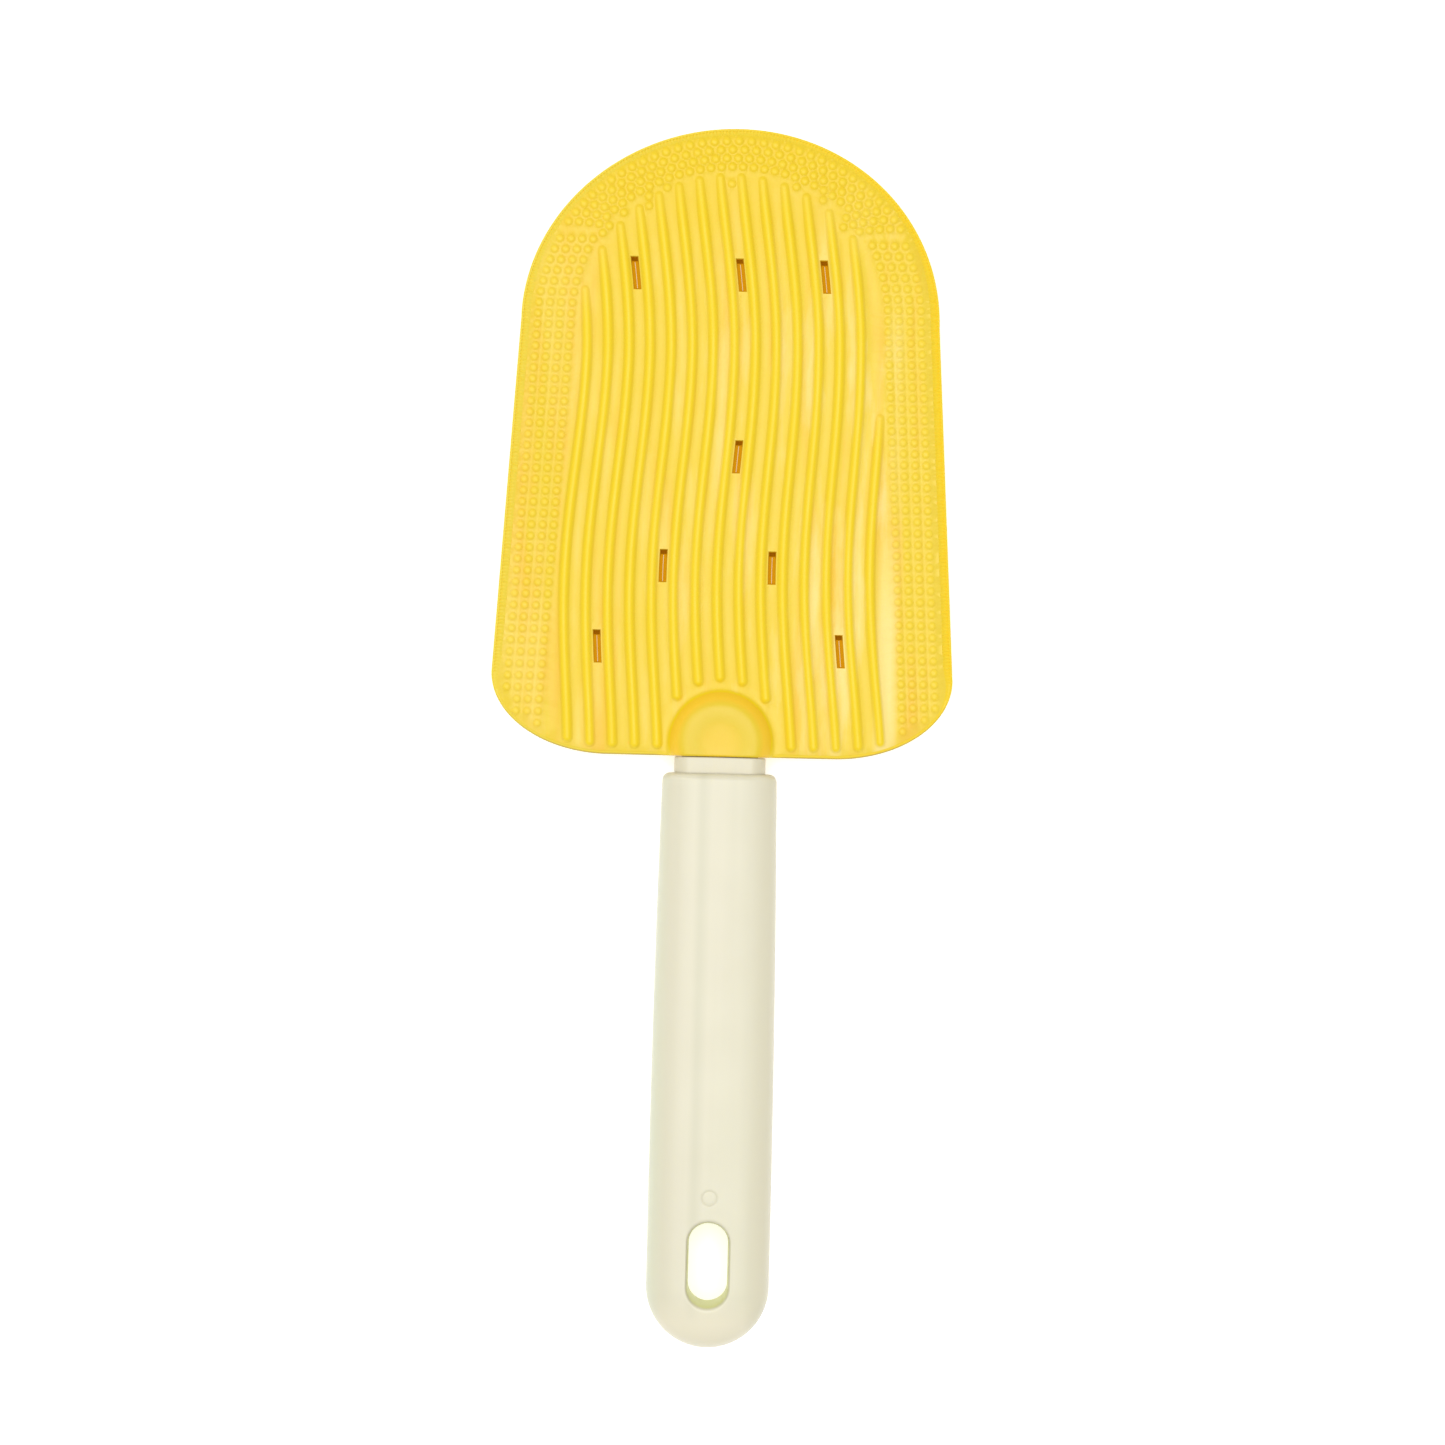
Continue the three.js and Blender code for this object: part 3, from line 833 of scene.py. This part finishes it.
def make_handle():
    plan = Plan()
    places = stations(END_CENTRE_Y, MOUTH_Y, 0, MOUTH_ROUND, step=1.8)
    right, top, left, _ = draw_bar(plan, lambda y: grip_section(grip_half_width(y)), places, clear_of_details)
    plan.join(right + top + left + draw_grip_end(plan), closed=True)
    draw_grip_details(plan)
    handle = two_faced("handle", plan, in_hang_slot)
    combine(handle, "DIFFERENCE", make_cavity())
    combine(handle, "DIFFERENCE", make_barb("groove", FIT_GAP))
    smooth(handle, sharp_degrees=40)
    return handle


# ---- materials ----
class Material:
    """A node material with one Principled shader, and short ways to add what it needs."""

    def __init__(self, name):
        self.material = bpy.data.materials.new(name)
        self.material.use_nodes = True
        self.tree = self.material.node_tree
        self.shader = self.tree.nodes["Principled BSDF"]
        self.coordinates = self.tree.nodes.new("ShaderNodeTexCoord").outputs["Object"]

    def set(self, **values):
        for name, value in values.items():
            self.shader.inputs[name.replace("_", " ")].default_value = value

    def link(self, output, socket):
        self.tree.links.new(output, socket)

    def noise(self, scale, detail=3, stretch=(1, 1, 1), roughness=0.5):
        """Noise from 0 to 1 with `scale` features to the metre, drawn out along an axis by `stretch`."""
        mapping = self.tree.nodes.new("ShaderNodeMapping")
        mapping.inputs["Scale"].default_value = [1 / s for s in stretch]
        self.link(self.coordinates, mapping.inputs["Vector"])
        node = self.tree.nodes.new("ShaderNodeTexNoise")
        node.inputs["Scale"].default_value = scale
        node.inputs["Detail"].default_value = detail
        node.inputs["Roughness"].default_value = roughness
        self.link(mapping.outputs["Vector"], node.inputs["Vector"])
        return node.outputs["Fac"]

    def ramp(self, value, from_low, from_high, to_low=0.0, to_high=1.0):
        """From to_low to to_high as the value goes from from_low, which may be the larger, to from_high."""
        node = self.tree.nodes.new("ShaderNodeMapRange")
        numbers = {"From Min": from_low, "From Max": from_high, "To Min": to_low, "To Max": to_high}
        for name, number in numbers.items():
            node.inputs[name].default_value = number
        self.link(value, node.inputs["Value"])
        return node.outputs["Result"]

    def mix(self, factor, first, second):
        """A colour between first and second, each a colour or another node's output."""
        node = self.tree.nodes.new("ShaderNodeMix")
        node.data_type = "RGBA"
        self.link(factor, node.inputs["Factor"])
        for colour, socket in ((first, node.inputs["A"]), (second, node.inputs["B"])):
            if isinstance(colour, tuple):
                socket.default_value = (*colour, 1)
            else:
                self.link(colour, socket)
        return node.outputs["Result"]

    def along(self, axis, start, end):
        """From 0 at one place along an axis to 1 at another, in metres."""
        node = self.tree.nodes.new("ShaderNodeSeparateXYZ")
        self.link(self.coordinates, node.inputs["Vector"])
        return self.ramp(node.outputs[axis], start, end)

    def attribute(self, name):
        node = self.tree.nodes.new("ShaderNodeAttribute")
        node.attribute_name = name
        return node.outputs["Fac"]

    def bump(self, *layers):
        """Adds bump layers, each (height, depth in metres), one after the other."""
        last = None
        for height, depth in layers:
            node = self.tree.nodes.new("ShaderNodeBump")
            node.inputs["Distance"].default_value = depth
            self.link(height, node.inputs["Height"])
            if last:
                self.link(last, node.inputs["Normal"])
            last = node.outputs["Normal"]
        self.link(last, self.shader.inputs["Normal"])


def web_colour(m):
    """Yellow with peach patches and chalky streaks, a chalky strip at the lower right and a plainer arch."""
    ground = m.mix(m.along("X", *WEB_ACROSS), WEB_LEFT, WEB_RIGHT)
    peach = m.ramp(m.noise(170, 4, stretch=(1, 8, 1)), 0.48, 0.66)
    ground = m.mix(peach, ground, WEB_PEACH)
    chalk = m.mix(m.along("X", *CHALK_ACROSS), CHALK_LEFT, CHALK_RIGHT)
    streaks = m.ramp(m.noise(150, 5, stretch=(1, 7, 1), roughness=0.6), 0.47, 0.68, 0, 0.9)
    chalky = m.mix(streaks, ground, chalk)
    ground = m.mix(m.along("X", *CHALK_END), chalky, ground)
    strip = m.mix(m.along("X", *STRIP_RIGHT), CHALK_STRIP, ground)
    strip = m.mix(m.along("Y", *STRIP_TOP), strip, ground)
    ground = m.mix(m.along("X", *STRIP_LEFT), ground, strip)
    return m.mix(m.along("Y", *ARCH_START), ground, ARCH_YELLOW)


def blade_colour(m, relief):
    """Coloured by height: lemon ribs on the web, a golden boss with a paler dish and a rim; painted shade
    along the lower edge's rim, and painted shade in the slots, darkest as a painted shadow in the pit at each
    slot's top end.
    """
    colour = m.mix(m.ramp(relief, *CREST_RELIEF), web_colour(m), CREST_YELLOW)
    colour = m.mix(m.ramp(relief, *BOSS_RELIEF), colour, BOSS_GOLD)
    colour = m.mix(m.ramp(relief, *DISH_RELIEF), colour, BOSS_PALE)
    rim = m.mix(m.along("X", *RIM_ACROSS), RIM_LEFT, RIM_RIGHT)
    colour = m.mix(m.ramp(relief, *RIM_RELIEF), colour, rim)
    # painted shade along the lower edge's rim, which turns away from the light
    edge = m.mix(m.along("Y", *SHADE_START), rim, EDGE_PAINTED_SHADE)
    colour = m.mix(m.ramp(relief, *EDGE_RELIEF), colour, edge)
    # painted shade on the slots' walls and ledges, and a painted shadow in the pit at their top ends
    colour = m.mix(m.ramp(relief, *SLOT_RELIEF), colour, SLOT_PAINTED_SHADE)
    return m.mix(m.ramp(relief, *PIT_RELIEF), colour, PIT_PAINTED_SHADOW)


def yellow_rubber():
    """Soft rubber, matt inside its slots."""
    m = Material("yellow_rubber")
    relief = m.attribute("relief")
    specular = m.ramp(relief, *MATT_RELIEF, RUBBER_SPECULAR, MATT_SPECULAR)
    m.link(blade_colour(m, relief), m.shader.inputs["Base Color"])
    m.link(specular, m.shader.inputs["Specular IOR Level"])
    m.link(m.ramp(m.noise(90, 4), *NOISE_SPREAD, *RUBBER_ROUGHNESS), m.shader.inputs["Roughness"])
    m.bump((m.noise(120, 3), 0.00015), (m.noise(1800, 2), 0.00003))
    m.set(Subsurface_Weight=0.08, Subsurface_Scale=0.001, Subsurface_Radius=(1.0, 0.7, 0.2), IOR=1.45)
    return m.material


def cream_plastic(name, colour, other):
    """Satin moulded plastic, with faint flow marks and a fine spark-eroded grain. Also returns its colour."""
    m = Material(name)
    patches = m.ramp(m.noise(25, 4, stretch=(1, 6, 1)), 0.35, 0.65)
    flow_marks = m.ramp(m.noise(160, 2, stretch=(1, 60, 1)), 0.5, 0.8, 0, 0.5)
    tint = m.mix(flow_marks, m.mix(patches, colour, other), STREAK_CREAM)
    m.link(tint, m.shader.inputs["Base Color"])
    m.link(m.ramp(m.noise(60, 4), *NOISE_SPREAD, *PLASTIC_ROUGHNESS), m.shader.inputs["Roughness"])
    m.bump((m.noise(40, 2, stretch=(1, 5, 1)), 0.00012), (m.noise(2500, 2), 0.000006))
    m.set(Subsurface_Weight=0.15, Subsurface_Scale=0.003, Subsurface_Radius=(1.0, 0.9, 0.5), IOR=1.48)
    return m, tint


def neck_plastic():
    m, _ = cream_plastic("neck_plastic", NECK_CREAM, NECK_CREAM_PALE)
    return m.material


def handle_plastic():
    """Cream plastic with one long darker stripe, painted light on its lower end, a greener left side, painted
    shade on its right side, and a yellow-green glow painted on the hang slot's walls.
    """
    m, plain = cream_plastic("handle_plastic", CREAM, CREAM_DULL)
    # a darker stripe along the handle, left of its middle
    tint = m.mix(m.along("X", *DARK_STRIPE_LEFT), plain, STREAK_CREAM)
    tint = m.mix(m.along("X", *DARK_STRIPE_RIGHT), tint, plain)
    # painted light on the lower end
    tint = m.mix(m.along("Y", *PAINTED_LIGHT_START), tint, CREAM_PAINTED_LIGHT)
    tint = m.mix(m.along("X", *GREEN_START), tint, CREAM_GREEN)
    # painted shade on the right side
    tint = m.mix(m.along("X", *SHADED_SIDE_START), tint, CREAM_PAINTED_SHADE)
    # a yellow-green glow painted on the hang slot's walls
    tint = m.mix(m.ramp(m.attribute("relief"), *TUNNEL_RELIEF), tint, TUNNEL_PAINTED_GLOW)
    m.link(tint, m.shader.inputs["Base Color"])
    return m.material


def white_floor():
    m = Material("white_floor")
    m.link(m.mix(m.noise(3, 2), FLOOR_GREY, FLOOR_PALE), m.shader.inputs["Base Color"])
    m.set(Roughness=0.9, Emission_Color=(1, 1, 1, 1), Emission_Strength=FLOOR_GLOW)
    return m.material


def mark_relief(piece, height_at, in_hole):
    """Stores how far each point is above its surface, in millimetres. Only points in holes go deep."""
    mesh = piece.data
    co = np.empty(len(mesh.vertices) * 3)
    mesh.vertices.foreach_get("co", co)
    x, y, z = co.reshape(-1, 3).T / MM
    relief = np.abs(z - MID_Z) - height_at(x, y)
    relief = np.where(in_hole(x, y), relief, np.maximum(relief, SHALLOW))
    mesh.attributes.new("relief", "FLOAT", "POINT").data.foreach_set("value", relief)


# ---- scene ----
def add_camera():
    data = bpy.data.cameras.new("camera")
    data.sensor_width = 36
    data.lens = data.sensor_width / VIEW_WIDTH * VIEW_DISTANCE
    camera = bpy.data.objects.new("camera", data)
    camera.location = (VIEW_X * MM, VIEW_Y * MM, (MID_Z + VIEW_DISTANCE) * MM)
    camera.rotation_euler = (0, 0, math.radians(VIEW_ROLL_DEGREES))
    bpy.context.scene.collection.objects.link(camera)
    bpy.context.scene.camera = camera


def add_floor():
    far = FLOOR_REACH
    corners = np.array([(-far, -far, 0), (far, -far, 0), (far, far, 0), (-far, far, 0)])
    floor = make_object("floor", corners, [(0, 1, 2, 3)])
    floor.data.materials.append(white_floor())


def add_softbox(name, place, width, height, power):
    light = bpy.data.lights.new(name, "AREA")
    light.shape = "RECTANGLE"
    light.size, light.size_y = width, height
    light.energy = power
    lamp = bpy.data.objects.new(name, light)
    lamp.location = place
    lamp.rotation_euler = (-Vector(place)).to_track_quat("-Z", "Y").to_euler()
    bpy.context.scene.collection.objects.link(lamp)


def add_light():
    world = bpy.data.worlds.new("studio")
    world.use_nodes = True
    background = world.node_tree.nodes["Background"]
    background.inputs["Color"].default_value = (1, 1, 1, 1)
    background.inputs["Strength"].default_value = AMBIENT
    bpy.context.scene.world = world
    for softbox in SOFTBOXES:
        add_softbox(*softbox)
    bpy.context.scene.view_settings.view_transform = "Standard"


blade = make_blade()
mark_relief(blade, lambda x, y: WEB_HALF, in_slot)
blade.data.materials.append(yellow_rubber())
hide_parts("blade_root", "blade_flap")
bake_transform(blade)

neck = make_neck()
neck.data.materials.append(neck_plastic())
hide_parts("neck_core")
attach(neck, "handle")

handle = make_handle()
mark_relief(handle, grip_height, in_hang_flare)
handle.data.materials.append(handle_plastic())
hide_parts("handle_sleeve")
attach(handle, "handle")

add_camera()
add_floor()
add_light()
